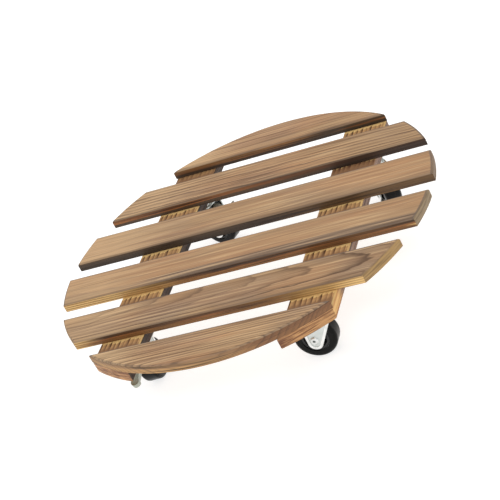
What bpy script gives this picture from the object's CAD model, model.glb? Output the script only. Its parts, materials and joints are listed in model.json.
"""Looks of the plant pot caddy: scorched softwood boards on zinc-plated casters with black rubber tyres."""
import json
import math

import bpy
from mathutils import Matrix, Vector


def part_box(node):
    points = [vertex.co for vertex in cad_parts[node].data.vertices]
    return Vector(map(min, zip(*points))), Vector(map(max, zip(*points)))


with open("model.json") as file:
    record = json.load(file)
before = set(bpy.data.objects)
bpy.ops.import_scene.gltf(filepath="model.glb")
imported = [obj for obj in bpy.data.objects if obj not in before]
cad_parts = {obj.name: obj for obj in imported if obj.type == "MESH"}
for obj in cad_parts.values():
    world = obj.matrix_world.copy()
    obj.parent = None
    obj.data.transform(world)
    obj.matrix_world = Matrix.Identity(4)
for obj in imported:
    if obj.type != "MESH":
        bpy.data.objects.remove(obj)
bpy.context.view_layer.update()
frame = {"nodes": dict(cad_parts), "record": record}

# ---- Pieces, and sizes in metres ----

MM = 0.001
NODES = frame["nodes"]
SLATS = [f"slat_{i}" for i in range(1, 7)]
BATTENS = ["batten_left", "batten_right"]
CASTERS = ["front_left", "front_right", "back_left", "back_right"]
DECK_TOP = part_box("slat_1")[1][2]
DECK_RADIUS = -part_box("slat_6")[0][1]


# ---- Camera: the photograph's viewing angle, rolled about its own axis ----

# AIM is the point in the middle of the picture.
AZIMUTH, ELEVATION, ROLL = (math.radians(a) for a in (28.4, 28.2, 28.4))
AIM = Vector((0.0180, -0.0399, DECK_TOP - 0.0004))
DISTANCE = 1.4388
LENS, SENSOR = 113.6, 36.0


def make_camera():
    back = Vector((
        math.sin(AZIMUTH) * math.cos(ELEVATION),
        -math.cos(AZIMUTH) * math.cos(ELEVATION),
        math.sin(ELEVATION),
    ))
    data = bpy.data.cameras.new("camera")
    data.lens, data.sensor_width = LENS, SENSOR
    data.clip_start, data.clip_end = 0.05, 50
    camera = bpy.data.objects.new("camera", data)
    bpy.context.collection.objects.link(camera)
    turn = (-back).to_track_quat("-Z", "Y").to_matrix().to_4x4()
    camera.matrix_world = Matrix.Translation(AIM + DISTANCE * back) @ turn @ Matrix.Rotation(-ROLL, 4, "Z")
    bpy.context.scene.camera = camera


# ---- Node graphs ----

class Graph:
    """A material's node tree. Each call adds a node and returns its output socket."""

    def __init__(self, name):
        self.material = bpy.data.materials.new(name)
        self.material.use_nodes = True
        self.tree = self.material.node_tree
        self.tree.nodes.clear()
        self.shader = self.tree.nodes.new("ShaderNodeBsdfPrincipled")
        output = self.tree.nodes.new("ShaderNodeOutputMaterial")
        self.tree.links.new(self.shader.outputs[0], output.inputs[0])
        source = self.tree.nodes.new("ShaderNodeTexCoord")
        self.place, self.normal = source.outputs["Object"], source.outputs["Normal"]

    def feed(self, socket, value):
        if isinstance(value, bpy.types.NodeSocket):
            self.tree.links.new(value, socket)
        else:
            socket.default_value = value

    def set(self, **values):
        """Feeds the shader's sockets, named with _ for a space."""
        for name, value in values.items():
            self.feed(self.shader.inputs[name.replace("_", " ")], value)

    def math(self, operation, a, b=0.0):
        node = self.tree.nodes.new("ShaderNodeMath")
        node.operation = operation
        for socket, value in zip(node.inputs, (a, b)):
            self.feed(socket, value)
        return node.outputs[0]

    def add(self, a, b):
        return self.math("ADD", a, b)

    def subtract(self, a, b):
        return self.math("SUBTRACT", a, b)

    def multiply(self, a, b):
        return self.math("MULTIPLY", a, b)

    def divide(self, a, b):
        return self.math("DIVIDE", a, b)

    def unsigned(self, a):
        return self.math("ABSOLUTE", a)

    def distance(self, a, b):
        """How far a point is that lies a one way and b the other way, at right angles."""
        return self.math("SQRT", self.add(self.multiply(a, a), self.multiply(b, b)))

    def split(self, vector):
        node = self.tree.nodes.new("ShaderNodeSeparateXYZ")
        self.feed(node.inputs[0], vector)
        return node.outputs[0], node.outputs[1], node.outputs[2]

    def join(self, x, y, z):
        node = self.tree.nodes.new("ShaderNodeCombineXYZ")
        for socket, value in zip(node.inputs, (x, y, z)):
            self.feed(socket, value)
        return node.outputs[0]

    def stretched(self, vector, scales, shift=(0, 0, 0)):
        node = self.tree.nodes.new("ShaderNodeMapping")
        self.feed(node.inputs["Vector"], vector)
        self.feed(node.inputs["Scale"], scales)
        self.feed(node.inputs["Location"], shift)
        return node.outputs[0]

    def noise(self, vector, scale=1.0, detail=2.0, roughness=0.5):
        node = self.tree.nodes.new("ShaderNodeTexNoise")
        self.feed(node.inputs["Vector"], vector)
        for name, value in (("Scale", scale), ("Detail", detail), ("Roughness", roughness)):
            self.feed(node.inputs[name], value)
        return node.outputs[0]

    def random(self, value):
        node = self.tree.nodes.new("ShaderNodeTexWhiteNoise")
        node.noise_dimensions = "1D"
        self.feed(node.inputs["W"], value)
        return node.outputs[0]

    def ramp(self, value, low, high, to_low=0.0, to_high=1.0):
        """Smooth step from to_low at low to to_high at high."""
        node = self.tree.nodes.new("ShaderNodeMapRange")
        node.interpolation_type = "SMOOTHSTEP"
        for socket, v in zip(node.inputs, (value, low, high, to_low, to_high)):
            self.feed(socket, v)
        return node.outputs[0]

    def mix(self, amount, a, b):
        """Colour a, or colour b where amount is 1."""
        node = self.tree.nodes.new("ShaderNodeMix")
        node.data_type = "RGBA"
        self.feed(node.inputs["Factor"], amount)
        self.feed(node.inputs[6], a)
        self.feed(node.inputs[7], b)
        return node.outputs[2]

    def bump(self, height, distance, strength):
        node = self.tree.nodes.new("ShaderNodeBump")
        self.feed(node.inputs["Height"], height)
        node.inputs["Distance"].default_value = distance
        node.inputs["Strength"].default_value = strength
        self.feed(self.shader.inputs["Normal"], node.outputs[0])


def shade(red, green, blue):
    """An sRGB colour, 0 to 255, as linear RGBA."""
    def linear(v):
        v /= 255
        return v / 12.92 if v <= 0.04045 else ((v + 0.055) / 1.055) ** 2.4
    return (linear(red), linear(green), linear(blue), 1.0)


# ---- Wood ----

EARLY = shade(186, 150, 110)
WARM = shade(194, 147, 104)
PALE = shade(214, 178, 134)
LATE = shade(96, 68, 44)
GREY = shade(146, 128, 112)
BAND, BAND_LINE = shade(160, 134, 108), shade(98, 80, 66)
EASED = shade(104, 90, 80)
CHAR = shade(44, 33, 26)
EMBER = shade(176, 112, 62)
RAW, RAW_STREAK, RAW_LINE = shade(226, 188, 124), shade(186, 142, 90), shade(126, 82, 42)
UNDER = shade(190, 154, 108)
SLAT_END_LINE = shade(96, 76, 52)
BROWN, BROWN_LINE = shade(186, 142, 94), shade(84, 56, 34)
BURNT = shade(128, 92, 62)
TAN, TAN_LINE = shade(214, 170, 108), shade(162, 104, 58)
BATTEN_END_LINE, BATTEN_END_PATCH = shade(118, 78, 50), shade(96, 58, 44)

# A slat's grain, with lengths in millimetres.
# ring: width of a growth ring. pith: place of the tree's centre line, across the board and up
# from its top. slope, drift: how fast that line drops and moves across. sharp: how thin the
# late wood is. contrast: how dark the late wood is on top. dark: how dark the whole top is.
# pale: how pale the top's left end is. lines: how dark the fine lines on top are.
# grey, band: greyness in patches and along the front edge. raw: lengths without scorching at the
# left and right ends. upper, lower, right: colours of the scorched front edge. ember: strength of
# the orange strip in it. end: colour of the end grain.
SLAT_GRAIN = {
    "slat_1": dict(
        ring=2.4, pith=(72, -48), slope=0.01, drift=0.02, sharp=2.6, contrast=0.55, dark=0.0, pale=0.8,
        lines=0.6, grey=0.3, band=0.0, raw=(0, 0), upper=shade(132, 92, 54), lower=shade(72, 56, 42),
        right=shade(70, 58, 44), ember=0.5, end=shade(130, 100, 68)),
    "slat_2": dict(
        ring=4.4, pith=(-72, -46), slope=0.012, drift=-0.03, sharp=2.4, contrast=0.85, dark=0.12, pale=0.6,
        lines=0.7, grey=0.3, band=0.0, raw=(0, 0), upper=shade(128, 82, 48), lower=shade(86, 66, 48),
        right=shade(60, 46, 38), ember=0.8, end=shade(120, 92, 62)),
    "slat_3": dict(
        ring=2.2, pith=(38, -120), slope=0.006, drift=0.01, sharp=2.0, contrast=0.22, dark=0.2, pale=0.6,
        lines=0.3, grey=0.25, band=0.2, raw=(0, 0), upper=shade(80, 64, 50), lower=shade(66, 54, 42),
        right=shade(112, 84, 54), ember=0.0, end=shade(122, 98, 74)),
    "slat_4": dict(
        ring=2.0, pith=(-26, -110), slope=0.006, drift=0.0, sharp=2.0, contrast=0.25, dark=0.16, pale=0.35,
        lines=0.3, grey=0.1, band=0.9, raw=(150, 14), upper=shade(92, 62, 38), lower=shade(142, 98, 54),
        right=shade(120, 82, 48), ember=0.6, end=shade(142, 122, 94)),
    "slat_5": dict(
        ring=2.6, pith=(13, -60), slope=0.052, drift=-0.08, sharp=5.0, contrast=1.3, dark=0.28, pale=0.4,
        lines=0.35, grey=0.55, band=0.0, raw=(60, 120), upper=shade(96, 64, 38), lower=shade(130, 90, 50),
        right=shade(140, 98, 52), ember=0.6, end=shade(162, 130, 84)),
    "slat_6": dict(
        ring=2.5, pith=(70, -50), slope=-0.02, drift=0.04, sharp=2.6, contrast=0.8, dark=0.04, pale=1.0,
        lines=0.75, grey=0.35, band=0.0, raw=(0, 0), upper=shade(150, 116, 82), lower=shade(184, 142, 94),
        right=shade(118, 80, 54), ember=0.0, end=shade(150, 115, 75)),
}

# The middle of a gap, as a share of the slats' pitch from the front edge of the slat behind it.
GAP_MIDDLE = 0.2

# A batten's looks.
# gloomy, gloom: the gap between slats where its top is darkest, counted from 0 at the back, and
# the colour there. side, side_lines: colours of the scorched sides. bare: 1 if the sides are
# unscorched near the front. end: colour of the end grain.
BATTEN_GRAIN = {
    "batten_left": dict(
        gloomy=0, gloom=shade(150, 112, 76), side=shade(72, 54, 42), side_lines=shade(38, 29, 24),
        bare=0, end=shade(210, 158, 108)),
    "batten_right": dict(
        gloomy=1, gloom=shade(96, 58, 40), side=shade(146, 116, 98), side_lines=shade(88, 66, 54),
        bare=1, end=shade(188, 140, 92)),
}


class Board(Graph):
    """Wood of one board, with coordinates and noises in metres from the board's middle and its top."""

    def __init__(self, name, axis, seed):
        """axis: 0 for a board that runs left to right, 1 for one that runs front to back."""
        super().__init__(name + "_wood")
        low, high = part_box(name)
        self.half_length = (high[axis] - low[axis]) / 2
        self.half_width = (high[1 - axis] - low[1 - axis]) / 2
        self.thickness = high[2] - low[2]
        x, self.y, z = self.split(self.place)
        facing_x, facing_y, self.up = self.split(self.normal)
        self.along, across = (x, self.y) if axis == 0 else (self.y, x)
        end_on, side_on = (facing_x, facing_y) if axis == 0 else (facing_y, facing_x)
        self.across = self.subtract(across, (low[1 - axis] + high[1 - axis]) / 2)
        self.depth = self.subtract(z, high[2])
        self.from_middle = self.distance(x, self.y)
        self.end_on = self.unsigned(end_on)
        self.side_on = self.unsigned(side_on)
        self.here = self.join(self.along, self.across, self.depth)
        self.moved = (0.37 * seed, 0.91 * seed, 0.53 * seed)
        self.tone = self.grain(5, 45, 45, detail=3)
        self.patch = self.grain(11, 30, 30)
        self.streaks = self.grain(9, 420, 420, detail=3, roughness=0.6)
        self.fibres = self.grain(16, 1100, 1100, detail=3, roughness=0.65)

    def grain(self, along, across, depth, detail=2, roughness=0.5):
        """Noise with so many waves per metre along, across and down the board."""
        here = self.stretched(self.here, (along, across, depth), self.moved)
        return self.noise(here, detail=detail, roughness=roughness)

    def swing(self, noise, size):
        """A noise as a distance to either side of zero."""
        return self.multiply(self.subtract(noise, 0.5), size)

    def late_wood(self, ring, pith, slope, drift, sharp):
        """Strength of the late wood of rings about the pith: 0 to 1.6, and its own in each ring."""
        sway = self.grain(7, 12, 12)
        ripple = self.grain(30, 120, 120, detail=3)
        above = self.add(self.subtract(self.depth, pith[1] * MM), self.multiply(self.along, slope))
        above = self.add(above, self.swing(sway, 7 * MM))
        aside = self.subtract(self.subtract(self.across, pith[0] * MM), self.multiply(self.along, drift))
        aside = self.add(aside, self.swing(sway, 5 * MM))
        turns = self.add(self.divide(self.distance(above, aside), ring * MM), self.swing(ripple, 0.8))
        count = self.math("FLOOR", turns)
        part = self.subtract(turns, count)
        late = self.multiply(self.math("POWER", part, sharp), self.ramp(part, 1, 0.88))
        return self.multiply(late, self.ramp(self.random(count), 0, 1, 0.6, 1.6))

    def finish(self, colour, late):
        relief = self.add(self.multiply(late, 0.8), self.multiply(self.fibres, 0.6))
        self.bump(relief, 0.3 * MM, 0.6)
        self.set(Base_Color=colour, Roughness=self.ramp(late, 0, 1, 0.66, 0.52), Specular_IOR_Level=0.3)
        return self.material


def slat_top(wood, spec, late):
    end = wood.half_length
    colour = wood.mix(wood.ramp(wood.tone, 0.35, 0.68), EARLY, WARM)
    colour = wood.mix(wood.ramp(wood.patch, 0.4, 0.7, 0, spec["grey"]), colour, GREY)
    colour = wood.mix(spec["dark"], colour, LATE)
    colour = wood.mix(wood.ramp(wood.along, -0.35 * end, -0.8 * end, 0, spec["pale"]), colour, PALE)
    band = wood.mix(wood.ramp(wood.streaks, 0.35, 0.65), BAND, BAND_LINE)
    colour = wood.mix(front_band(wood, spec), colour, band)
    colour = wood.mix(wood.ramp(wood.streaks, 0.48, 0.34, 0, 0.6), colour, PALE)
    colour = wood.mix(wood.ramp(wood.streaks, 0.5, 0.68, 0, spec["lines"]), colour, LATE)
    colour = wood.mix(wood.multiply(late, spec["contrast"]), colour, LATE)
    colour = wood.mix(wood.ramp(wood.fibres, 0.45, 0.75, 0, 0.4), colour, LATE)
    return worn_edges(wood, colour)


def front_band(wood, spec):
    """The grey band along the slat's front edge, which fades out towards the left end."""
    edge = wood.add(wood.across, wood.swing(wood.patch, 6 * MM))
    near_front = wood.ramp(edge, 11 * MM - wood.half_width, 8 * MM - wood.half_width, 0, spec["band"])
    return wood.multiply(near_front, wood.ramp(wood.along, -0.65 * wood.half_length, -0.3 * wood.half_length))


def worn_edges(wood, colour):
    """Darkens the eased edges, a line along the back edge and one along the rim, except at the front."""
    eased = wood.multiply(wood.ramp(wood.up, 0.985, 0.8), wood.ramp(wood.up, 0.1, 0.35))
    colour = wood.mix(wood.multiply(eased, 0.45), colour, EASED)
    rim = wood.multiply(
        wood.ramp(wood.from_middle, DECK_RADIUS - 2.6 * MM, DECK_RADIUS - 1.6 * MM),
        wood.ramp(wood.y, -0.4 * DECK_RADIUS, -0.3 * DECK_RADIUS))
    back = wood.ramp(wood.across, wood.half_width - 3.2 * MM, wood.half_width - 2 * MM)
    return wood.mix(wood.multiply(wood.math("MAXIMUM", rim, back), 0.75), colour, EASED)


def scorched_edge(wood, spec, late):
    streaks = wood.grain(9, 0, 420, detail=3, roughness=0.6)
    drop = wood.add(wood.depth, wood.swing(streaks, 5 * MM))
    low_down = wood.ramp(drop, -0.4 * wood.thickness, -0.7 * wood.thickness)
    colour = wood.mix(low_down, spec["upper"], spec["lower"])
    rightward = wood.add(wood.along, wood.swing(wood.patch, 80 * MM))
    colour = wood.mix(wood.ramp(rightward, 0, 0.55 * wood.half_length, 0, 0.85), colour, spec["right"])
    from_strip = wood.unsigned(wood.add(drop, 0.55 * wood.thickness))
    strip = wood.ramp(from_strip, 1.1 * MM, 0.4 * MM, 0, spec["ember"])
    colour = wood.mix(wood.multiply(strip, wood.ramp(wood.tone, 0.4, 0.55)), colour, EMBER)
    colour = wood.mix(wood.ramp(streaks, 0.47, 0.66, 0, 0.8), colour, CHAR)
    colour = wood.mix(wood.multiply(late, 0.45), colour, CHAR)
    return wood.mix(wood.ramp(wood.fibres, 0.5, 0.8, 0, 0.4), colour, CHAR)


def raw_edge(wood):
    """Bare wood with growth rings that slant along the edge."""
    slant = wood.add(wood.depth, wood.multiply(wood.along, 0.014))
    turns = wood.add(wood.divide(slant, 2.2 * MM), wood.swing(wood.tone, 0.8))
    fade = wood.ramp(wood.patch, 0.3, 0.6, 0.5, 1.2)
    return wood.mix(wood.multiply(wood.math("POWER", wood.math("FRACT", turns), 1.6), fade), RAW, RAW_LINE)


def bare_ends(wood, spec):
    """1 where the slat's front edge isn't scorched."""
    stray = wood.add(wood.swing(wood.patch, 50 * MM), wood.swing(wood.streaks, 60 * MM))
    left, right = (length * MM for length in spec["raw"])
    end = wood.half_length
    bare = 0.0
    if left:
        bare = wood.ramp(wood.add(wood.along, stray), left - end, 0.3 * left - end)
    if right:
        right_end = wood.ramp(wood.subtract(wood.along, stray), end - right, end - 0.3 * right)
        bare = wood.math("MAXIMUM", bare, right_end)
    return bare


def slat_wood(name, spec):
    wood = Board(name, 0, 1.0 + SLATS.index(name))
    late = wood.late_wood(spec["ring"], spec["pith"], spec["slope"], spec["drift"], spec["sharp"])
    edge = wood.mix(bare_ends(wood, spec), scorched_edge(wood, spec, late), raw_edge(wood))
    colour = wood.mix(wood.ramp(wood.unsigned(wood.up), 0.5, 0.25), slat_top(wood, spec, late), edge)
    if name not in (SLATS[0], SLATS[-1]):
        end = wood.mix(wood.ramp(wood.grain(40, 40, 500), 0.4, 0.65, 0, 0.6), spec["end"], SLAT_END_LINE)
        colour = wood.mix(wood.ramp(wood.end_on, 0.3, 0.85), colour, end)
    colour = wood.mix(wood.ramp(wood.up, -0.3, -0.8), colour, wood.mix(late, UNDER, RAW_LINE))
    return wood.finish(colour, late)


def batten_top(wood, spec, late):
    """Pale wood that the scorching reached only in the gaps between slats, in flame shapes.
    Ten pitches more keep the modulo's distance above zero."""
    slat_back, slat_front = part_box("slat_2")[1][1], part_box("slat_1")[0][1]
    pitch = slat_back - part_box("slat_3")[1][1]
    forward = wood.subtract(slat_front, wood.along)
    from_slat = wood.math("MODULO", wood.add(forward, 10 * pitch), pitch)
    from_gloomy = wood.unsigned(wood.subtract(wood.divide(forward, pitch), spec["gloomy"] + GAP_MIDDLE))
    gloomy = wood.ramp(from_gloomy, 0.5, 0.4)
    flame = wood.add(from_slat, wood.add(wood.multiply(late, 2.4 * MM), wood.swing(wood.tone, 8 * MM)))
    flame = wood.add(flame, wood.multiply(gloomy, 4 * MM))
    pale = wood.mix(wood.ramp(wood.streaks, 0.45, 0.7, 0, 0.4), RAW, RAW_STREAK)
    brown = wood.mix(late, BROWN, BROWN_LINE)
    brown = wood.mix(wood.multiply(gloomy, 0.6), brown, spec["gloom"])
    colour = wood.mix(wood.ramp(flame, 3.4 * MM, 5.4 * MM), pale, brown)
    colour = wood.mix(wood.ramp(flame, 8 * MM, 13 * MM, 0, 0.8), colour, BURNT)
    border = wood.ramp(wood.across, wood.half_width - 3 * MM, wood.half_width - 1.6 * MM, 0, 0.7)
    return wood.mix(wood.multiply(border, wood.ramp(gloomy, 1, 0)), colour, pale)


def batten_side(wood, spec):
    dark = wood.mix(wood.ramp(wood.streaks, 0.4, 0.65), spec["side"], spec["side_lines"])
    tan = wood.mix(wood.ramp(wood.streaks, 0.42, 0.66), TAN, TAN_LINE)
    forward = wood.subtract(wood.swing(wood.tone, 40 * MM), wood.along)
    end = wood.half_length
    return wood.mix(wood.ramp(forward, end - 65 * MM, end - 45 * MM, 0, spec["bare"]), dark, tan)


def batten_end(wood, spec):
    lines = wood.grain(8, 60, 620, detail=3, roughness=0.6)
    colour = wood.mix(wood.ramp(lines, 0.4, 0.62), spec["end"], BATTEN_END_LINE)
    return wood.mix(wood.ramp(wood.patch, 0.5, 0.7, 0, 0.6), colour, BATTEN_END_PATCH)


def batten_wood(name, spec):
    wood = Board(name, 1, 11.0 + BATTENS.index(name))
    late = wood.late_wood(ring=4.4, pith=(-70, -40), slope=0.01, drift=0.0, sharp=1.6)
    colour = batten_top(wood, spec, late)
    colour = wood.mix(wood.ramp(wood.side_on, 0.4, 0.9), colour, batten_side(wood, spec))
    colour = wood.mix(wood.ramp(wood.end_on, 0.4, 0.9), colour, batten_end(wood, spec))
    colour = wood.mix(wood.ramp(wood.up, -0.3, -0.8), colour, wood.mix(late, UNDER, RAW_LINE))
    return wood.finish(colour, late)


# ---- Metal, rubber and plastic ----

ZINC_CLOUD = shade(196, 198, 192)
DULL_ZINC = shade(196, 202, 199)
# A fork leg's sunk middle and its face, measured from the wheel's middle plane.
LEG_SUNK, LEG_FACE = 10.15 * MM, 10.45 * MM


def middle(name):
    low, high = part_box(name)
    return [(a + b) / 2 for a, b in zip(low, high)]


def metal(graph, colour, dull, roughness):
    """Plated steel: cloudy, finely scratched, and duller and rougher where dull is 1."""
    cloud = graph.noise(graph.place, 180, detail=3)
    scratch = graph.noise(graph.stretched(graph.place, (90, 90, 1400)), detail=2)
    tint = graph.mix(graph.ramp(cloud, 0.3, 0.7, 0, 0.5), colour, ZINC_CLOUD)
    cloudy = graph.ramp(cloud, 0.3, 0.75, roughness, roughness + 0.12)
    graph.set(
        Base_Color=graph.mix(graph.multiply(dull, 0.8), tint, DULL_ZINC),
        Metallic=1.0,
        Roughness=graph.add(cloudy, graph.multiply(dull, 0.1)),
    )
    graph.bump(graph.add(graph.multiply(scratch, 0.4), cloud), 0.05 * MM, 0.25)
    return graph.material


def zinc(name, colour, roughness):
    graph = Graph(name)
    dull = graph.ramp(graph.noise(graph.place, 60, detail=2), 0.5, 0.7, 0, 0.5)
    return metal(graph, colour, dull, roughness)


def fork_zinc(caster):
    """Zinc whose duller parts are the sunk middles of the legs, found by their distance from the
    wheel's middle plane."""
    graph = Graph(caster + "_fork_zinc")
    wheel, pin = Vector(middle(caster + "_tyre")), Vector(middle(caster + "_kingpin"))
    trail = (wheel - pin).to_2d().normalized()
    x, y, _ = graph.split(graph.place)
    aside = graph.add(
        graph.multiply(graph.subtract(x, wheel.x), -trail.y),
        graph.multiply(graph.subtract(y, wheel.y), trail.x))
    dull = graph.ramp(graph.unsigned(aside), LEG_FACE, LEG_SUNK)
    return metal(graph, shade(246, 247, 247), dull, 0.24)


def rubber(name):
    graph = Graph(name)
    grainy = graph.noise(graph.place, 1600, detail=2)
    dust = graph.noise(graph.place, 120, detail=4, roughness=0.7)
    graph.set(
        Base_Color=graph.mix(graph.ramp(dust, 0.5, 0.8, 0, 0.5), shade(5, 5, 5), shade(20, 19, 18)),
        Roughness=graph.ramp(dust, 0.35, 0.7, 0.34, 0.46),
        Specular_IOR_Level=0.14,
        Sheen_Weight=0.4,
        Sheen_Roughness=0.3,
    )
    graph.bump(grainy, 0.05 * MM, 0.2)
    return graph.material


def plastic(name):
    graph = Graph(name)
    texture = graph.noise(graph.place, 900, detail=3)
    graph.set(
        Base_Color=graph.mix(graph.ramp(texture, 0.3, 0.8), shade(18, 18, 19), shade(34, 34, 35)),
        Roughness=graph.ramp(texture, 0.3, 0.7, 0.45, 0.6),
    )
    graph.bump(texture, 0.06 * MM, 0.3)
    return graph.material


def give(node, material):
    """Puts one material in every slot of a CAD node."""
    for slot in NODES[node].material_slots:
        slot.link = "OBJECT"
        slot.material = material


def dress():
    for name, spec in SLAT_GRAIN.items():
        give(name, slat_wood(name, spec))
    for name, spec in BATTEN_GRAIN.items():
        give(name, batten_wood(name, spec))
    finishes = {
        "zinc_steel": zinc("zinc", shade(232, 234, 234), 0.26),
        "ball_steel": zinc("polished_steel", shade(215, 216, 218), 0.12),
        "screw_steel": zinc("screw_zinc", shade(212, 212, 206), 0.3),
        "tyre_rubber": rubber("tyre_rubber"),
        "hub_plastic": plastic("hub_plastic"),
    }
    for part in frame["record"]["subparts"]:
        if part["material_slot"] in finishes:
            give(part["node"], finishes[part["material_slot"]])
    for caster in CASTERS:
        give(caster + "_fork", fork_zinc(caster))
    give("front_left_brake_lever", zinc("lever_steel", shade(158, 161, 146), 0.32))
    give("back_left_brake_lever", zinc("worn_lever_steel", shade(104, 104, 96), 0.36))


# ---- Floor and light ----

FLOOR_REACH = 8.0
FLOOR, FLOOR_CLOUD = shade(188, 188, 188), shade(192, 192, 192)


def make_stage():
    mesh = bpy.data.meshes.new("floor")
    corners = [(FLOOR_REACH * x, FLOOR_REACH * y, 0) for x, y in ((-1, -1), (1, -1), (1, 1), (-1, 1))]
    mesh.from_pydata(corners, [], [(0, 1, 2, 3)])
    floor = bpy.data.objects.new("floor", mesh)
    bpy.context.collection.objects.link(floor)
    graph = Graph("floor_paint")
    graph.set(
        Base_Color=graph.mix(graph.noise(graph.place, 3, detail=2), FLOOR, FLOOR_CLOUD),
        Roughness=0.9,
        Specular_IOR_Level=0.1,
        Emission_Color=(1, 1, 1, 1),
        Emission_Strength=0.72,
    )
    mesh.materials.append(graph.material)


def area_light(name, place, size, power):
    data = bpy.data.lights.new(name, "AREA")
    data.shape, data.size, data.energy = "DISK", size, power
    light = bpy.data.objects.new(name, data)
    bpy.context.collection.objects.link(light)
    light.location = place
    light.rotation_mode = "QUATERNION"
    light.rotation_quaternion = (-Vector(place)).to_track_quat("-Z", "Y")


def make_light():
    world = bpy.data.worlds.new("studio")
    world.use_nodes = True
    sky = world.node_tree.nodes["Background"]
    sky.inputs["Color"].default_value = (1, 1, 1, 1)
    sky.inputs["Strength"].default_value = 0.8
    bpy.context.scene.world = world
    area_light("key", (1.1, 0.5, 1.9), 1.2, 11)
    area_light("fill", (0.4, -2.2, 1.1), 1.6, 9)
    area_light("rim", (-1.6, 1.0, 1.2), 1.2, 4)
    bpy.context.scene.view_settings.view_transform = "Standard"


make_camera()
make_stage()
make_light()
dress()
